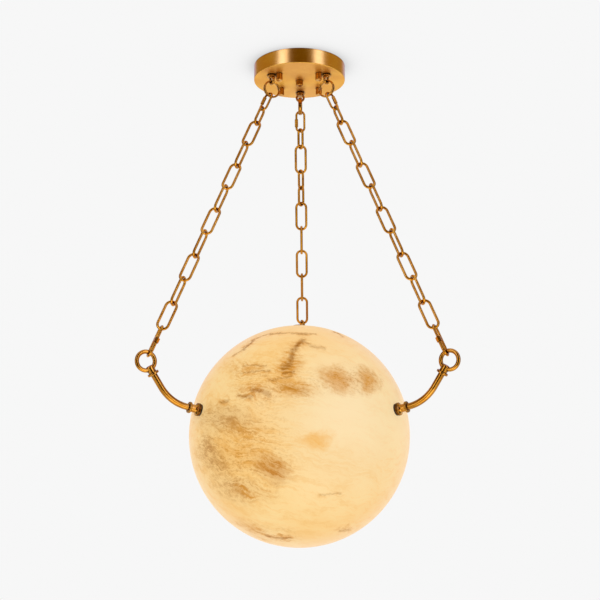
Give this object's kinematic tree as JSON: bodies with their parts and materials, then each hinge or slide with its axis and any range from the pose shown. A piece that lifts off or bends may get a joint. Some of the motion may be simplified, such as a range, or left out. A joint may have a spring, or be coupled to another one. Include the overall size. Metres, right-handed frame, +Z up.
{
  "type": "pendant light",
  "caption": "Stone globe pendant light hung on splayed chains from a round brass ceiling canopy, with bent arms that carry the globe and a lift-out cap for the lamp.",
  "frame": {"origin": "centre of the mounting plate's face against the ceiling, which is also the centre of the canopy's rim", "axes": "+Z up into the ceiling; +Y towards the side of the chain that hangs behind the globe; the other two hang at the front left and right"},
  "size_m": [0.4152, 0.3893, 0.685],
  "materials": {
    "brass_satin": "brushed",
    "brass_dark": "patinated",
    "alabaster": "polished, translucent",
    "steel_zinc": "zinc plated",
    "soft_black": "matt",
    "holder_white": "plain",
    "block_white": "plain",
    "lamp_opal": "opal"
  },
  "bodies": {
    "ceiling": {"mounting_plate": "steel_zinc", "canopy_studs": "steel_zinc", "canopy": "brass_satin", "terminal_block": "block_white", "wiring_screws": "steel_zinc", "hook_bells": "brass_satin", "hook_washers": "steel_zinc", "hook_locknuts": "steel_zinc", "eye_bolt_back": "brass_satin", "eye_bolt_left": "brass_satin", "eye_bolt_right": "brass_satin"},
    "globe": {"globe_shell": "alabaster", "seat_gaskets": "soft_black", "cap_seal": "soft_black", "arm_knuckle_back": "brass_satin", "arm_rod_back": "brass_satin", "arm_spool_back": "brass_dark", "arm_nut_back": "steel_zinc", "arm_knuckle_left": "brass_satin", "arm_rod_left": "brass_satin", "arm_spool_left": "brass_dark", "arm_nut_left": "steel_zinc", "arm_knuckle_right": "brass_satin", "arm_rod_right": "brass_satin", "arm_spool_right": "brass_dark", "arm_nut_right": "steel_zinc"},
    "cap": {"globe_cap": "alabaster", "cord_rosette": "brass_satin", "cap_nut": "steel_zinc", "lamp_nipple": "brass_satin", "lampholder": "holder_white", "holder_contacts": "brass_satin"},
    "lamp": {"lamp_base": "brass_satin", "lamp_bulb": "lamp_opal"},
    "center_nut": {"center_cap_nut": "brass_satin"},
    "nut_back_right": {"canopy_nut_back_right": "brass_satin"},
    "nut_back_left": {"canopy_nut_back_left": "brass_satin"},
    "nut_front_left": {"canopy_nut_front_left": "brass_satin"},
    "nut_front_right": {"canopy_nut_front_right": "brass_satin"},
    "hanging_chain_back": {"hook_ring_back": "brass_satin", "top_link_back": "brass_satin", "chain_back": "brass_satin", "bottom_link_back": "brass_satin"},
    "sleeve_back": {"top_sleeve_back": "brass_satin"},
    "link_nut_back": {"bottom_nut_back": "brass_satin"},
    "arm_ring_back": {"arm_ring_back": "brass_satin"},
    "hanging_chain_left": {"hook_ring_left": "brass_satin", "top_link_left": "brass_satin", "chain_left": "brass_satin", "bottom_link_left": "brass_satin"},
    "sleeve_left": {"top_sleeve_left": "brass_satin"},
    "link_nut_left": {"bottom_nut_left": "brass_satin"},
    "arm_ring_left": {"arm_ring_left": "brass_satin"},
    "hanging_chain_right": {"hook_ring_right": "brass_satin", "top_link_right": "brass_satin", "chain_right": "brass_satin", "bottom_link_right": "brass_satin"},
    "sleeve_right": {"top_sleeve_right": "brass_satin"},
    "link_nut_right": {"bottom_nut_right": "brass_satin"},
    "arm_ring_right": {"arm_ring_right": "brass_satin"}
  },
  "joints": [
    {"name": "pendant_sway", "type": "hinge", "parent": "ceiling", "child": "globe", "pos_m": [0, 0, 0.06825], "axis": [1, 0, 0], "range_deg": [-3.2, 3.2]},
    {"name": "chain_sway_back", "type": "hinge", "parent": "ceiling", "child": "hanging_chain_back", "pos_m": [0, 0.045, -0.0354], "axis": [1, 0, 0], "range_deg": [-4.07, 4.07]},
    {"name": "chain_sway_left", "type": "hinge", "parent": "ceiling", "child": "hanging_chain_left", "pos_m": [-0.03897, -0.0225, -0.0354], "axis": [1, 0, 0], "range_deg": [-4.07, 4.07]},
    {"name": "chain_sway_right", "type": "hinge", "parent": "ceiling", "child": "hanging_chain_right", "pos_m": [0.03897, -0.0225, -0.0354], "axis": [1, 0, 0], "range_deg": [-4.07, 4.07]},
    {"name": "top_sleeve_turn_back", "type": "hinge", "parent": "hanging_chain_back", "child": "sleeve_back", "pos_m": [-0.0059, 0.05508, -0.06607], "axis": [0, -0.4049, 0.9144], "continuous": true},
    {"name": "link_nut_turn_back", "type": "hinge", "parent": "hanging_chain_back", "child": "link_nut_back", "pos_m": [-0.00628, 0.21404, -0.42091], "axis": [0, -0.4049, 0.9144], "continuous": true},
    {"name": "arm_ring_swivel_back", "type": "hinge", "parent": "globe", "child": "arm_ring_back", "pos_m": [0, 0.2243, -0.44825], "axis": [-1, 0, 0], "continuous": true},
    {"name": "top_sleeve_turn_left", "type": "hinge", "parent": "hanging_chain_left", "child": "sleeve_left", "pos_m": [-0.05075, -0.02308, -0.06107], "axis": [0.3506, 0.2024, 0.9144], "continuous": true},
    {"name": "link_nut_turn_left", "type": "hinge", "parent": "hanging_chain_left", "child": "link_nut_left", "pos_m": [-0.18115, -0.11207, -0.42141], "axis": [0.3506, 0.2024, 0.9144], "continuous": true},
    {"name": "arm_ring_swivel_left", "type": "hinge", "parent": "globe", "child": "arm_ring_left", "pos_m": [-0.19425, -0.11215, -0.44825], "axis": [0.5, -0.866, 0], "continuous": true},
    {"name": "top_sleeve_turn_right", "type": "hinge", "parent": "hanging_chain_right", "child": "sleeve_right", "pos_m": [0.05075, -0.02308, -0.06107], "axis": [-0.3506, 0.2024, 0.9144], "continuous": true},
    {"name": "link_nut_turn_right", "type": "hinge", "parent": "hanging_chain_right", "child": "link_nut_right", "pos_m": [0.18115, -0.11207, -0.42141], "axis": [-0.3506, 0.2024, 0.9144], "continuous": true},
    {"name": "arm_ring_swivel_right", "type": "hinge", "parent": "globe", "child": "arm_ring_right", "pos_m": [0.19425, -0.11215, -0.44825], "axis": [0.5, 0.866, 0], "continuous": true},
    {"name": "canopy_nut_turn_back_right", "type": "hinge", "parent": "ceiling", "child": "nut_back_right", "pos_m": [0.02793, 0.02793, -0.022], "axis": [0, 0, 1], "continuous": true},
    {"name": "canopy_nut_turn_back_left", "type": "hinge", "parent": "ceiling", "child": "nut_back_left", "pos_m": [-0.02793, 0.02793, -0.022], "axis": [0, 0, 1], "continuous": true},
    {"name": "canopy_nut_turn_front_left", "type": "hinge", "parent": "ceiling", "child": "nut_front_left", "pos_m": [-0.02793, -0.02793, -0.022], "axis": [0, 0, 1], "continuous": true},
    {"name": "canopy_nut_turn_front_right", "type": "hinge", "parent": "ceiling", "child": "nut_front_right", "pos_m": [0.02793, -0.02793, -0.022], "axis": [0, 0, 1], "continuous": true},
    {"name": "center_nut_turn", "type": "hinge", "parent": "ceiling", "child": "center_nut", "pos_m": [0, 0, -0.022], "axis": [0, 0, 1], "continuous": true},
    {"name": "cap_lift", "type": "slide", "parent": "globe", "child": "cap", "axis": [0, 0, 1], "range_m": [0, 0.15]},
    {"name": "lamp_turn", "type": "hinge", "parent": "cap", "child": "lamp", "pos_m": [0, 0, -0.42245], "axis": [0, 0, 1], "continuous": true}
  ],
  "couplings": [
    {"joint": "chain_sway_back", "follows": "pendant_sway", "ratio": 1.2551},
    {"joint": "chain_sway_left", "follows": "pendant_sway", "ratio": 1.2551},
    {"joint": "chain_sway_right", "follows": "pendant_sway", "ratio": 1.2551}
  ]
}
